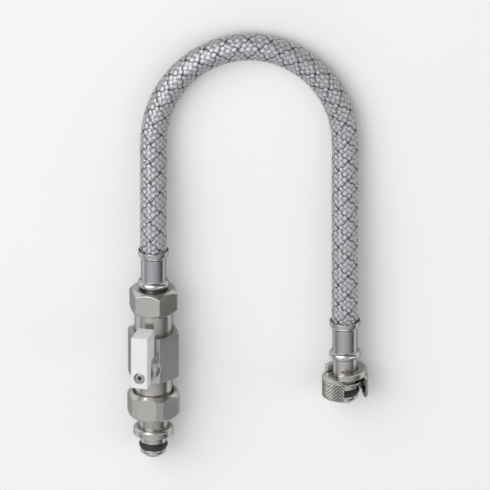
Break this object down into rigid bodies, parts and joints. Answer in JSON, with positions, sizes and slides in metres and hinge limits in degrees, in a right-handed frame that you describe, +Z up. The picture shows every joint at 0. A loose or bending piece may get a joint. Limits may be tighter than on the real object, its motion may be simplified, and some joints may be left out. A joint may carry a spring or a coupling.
{
  "type": "connection hose",
  "caption": "Steel-braided connection hose bent in an arch, with a lever ball valve and plug spigot on one end and a slotted knurled union nut with slotted collar on the other.",
  "frame": {"origin": "on the floor below the middle of the box round the two rigid ends, at rest, lying flat", "axes": "+X from the valve end towards the free end, +Y along both ends towards the arch of the hose, +Z up"},
  "size_m": [0.1325, 0.249, 0.0431],
  "materials": {
    "braided_steel": "woven stainless wire",
    "black_rubber": "matt black rubber",
    "stainless_steel": "drawn stainless steel",
    "nickel_plated_brass": "satin nickel plating on brass",
    "bare_brass": "turned brass",
    "seat_plastic": "white low-friction seat material",
    "fibre_gasket": "pressed fibre sheet",
    "lever_coating": "pale powder coating on die-cast zinc"
  },
  "bodies": {
    "hose_assembly": {"hose_braid": "braided_steel", "hose_liner": "black_rubber", "valve_end_ferrule": "stainless_steel", "hose_insert": "nickel_plated_brass", "union_nut": "nickel_plated_brass", "union_gasket": "fibre_gasket", "valve_body": "nickel_plated_brass", "seat_retainer": "bare_brass", "ball_seat_lower": "seat_plastic", "ball_seat_upper": "seat_plastic", "spigot_nut": "nickel_plated_brass", "spigot": "nickel_plated_brass", "spigot_gasket": "fibre_gasket", "spigot_seal_ring": "black_rubber", "free_end_ferrule": "stainless_steel", "free_end_tail": "nickel_plated_brass", "free_end_seal_ring": "black_rubber"},
    "valve_handle": {"lever": "lever_coating", "lever_screw": "stainless_steel", "stem": "bare_brass", "stem_washer": "seat_plastic", "stem_o_ring": "black_rubber", "ball": "stainless_steel"},
    "loose_collar": {"slotted_collar": "nickel_plated_brass"},
    "loose_nut": {"knurled_nut": "nickel_plated_brass"}
  },
  "joints": [
    {"name": "valve_turn", "type": "hinge", "parent": "hose_assembly", "child": "valve_handle", "pos_m": [-0.05185, -0.00425, 0.01447], "axis": [-0.2756, 0, 0.9613], "range_deg": [-90, 0]},
    {"name": "collar_slide", "type": "slide", "parent": "hose_assembly", "child": "loose_collar", "axis": [0, 1, 0], "range_m": [0, 0.0066]},
    {"name": "nut_swivel", "type": "hinge", "parent": "loose_collar", "child": "loose_nut", "pos_m": [0.0535, -0.0195, 0.01275], "axis": [0, 1, 0], "continuous": true}
  ]
}
